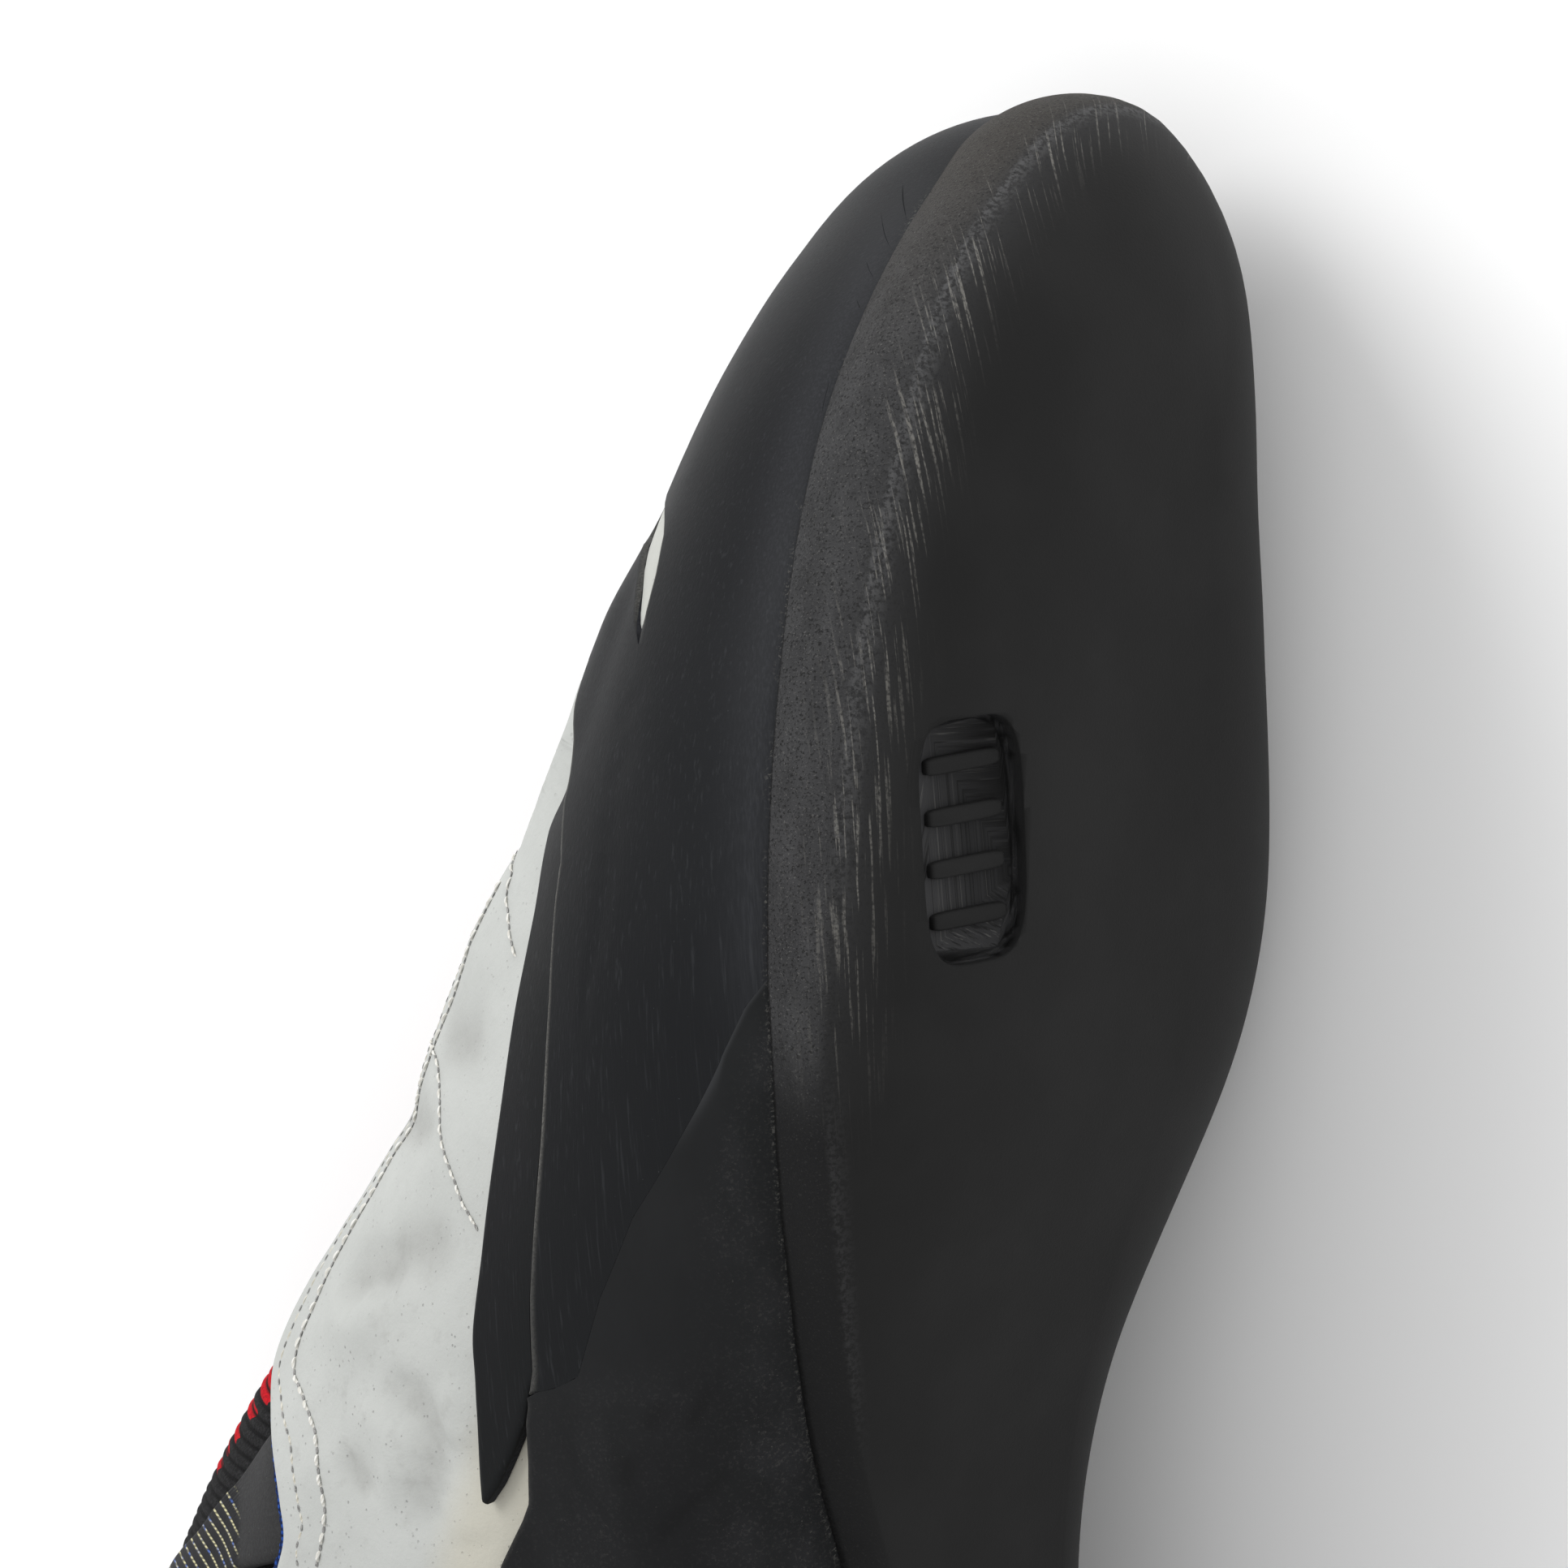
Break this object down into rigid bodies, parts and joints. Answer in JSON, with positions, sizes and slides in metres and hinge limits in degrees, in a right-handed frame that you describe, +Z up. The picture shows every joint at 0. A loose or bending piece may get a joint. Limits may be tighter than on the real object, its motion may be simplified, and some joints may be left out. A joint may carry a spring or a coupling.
{
  "type": "climbing shoe",
  "caption": "Soft down-turned climbing shoe for the right foot: rubber sole, toe and heel rands, leather upper, knit tongue and one closure strap.",
  "frame": {"origin": "centre of the bounding box in plan, on the floor that the shoe lies on", "axes": "+Y from heel to toe, +X the way the sole faces, +Z up through the lateral side of the shoe as it lies on its medial side"},
  "size_m": [0.1236, 0.2506, 0.0769],
  "materials": {
    "outsole_rubber": "matte, ground edge",
    "toe_rand_rubber": "smooth satin",
    "toe_patch_rubber": "smooth satin",
    "heel_rand_rubber": "smooth, ground at the edges",
    "side_strip_rubber": "smooth satin",
    "upper_leather": "matte off-white suede",
    "insole_board": "matte lining board",
    "tongue_knit": "ribbed knit",
    "strap_web": "smooth coated webbing"
  },
  "bodies": {
    "root": {"outsole": "outsole_rubber", "toe_rand": "toe_rand_rubber", "toe_patch": "toe_patch_rubber", "heel_rand": "heel_rand_rubber", "side_strip": "side_strip_rubber", "upper": "upper_leather", "insole": "insole_board", "tongue": "tongue_knit", "strap": "strap_web"}
  },
  "joints": []
}
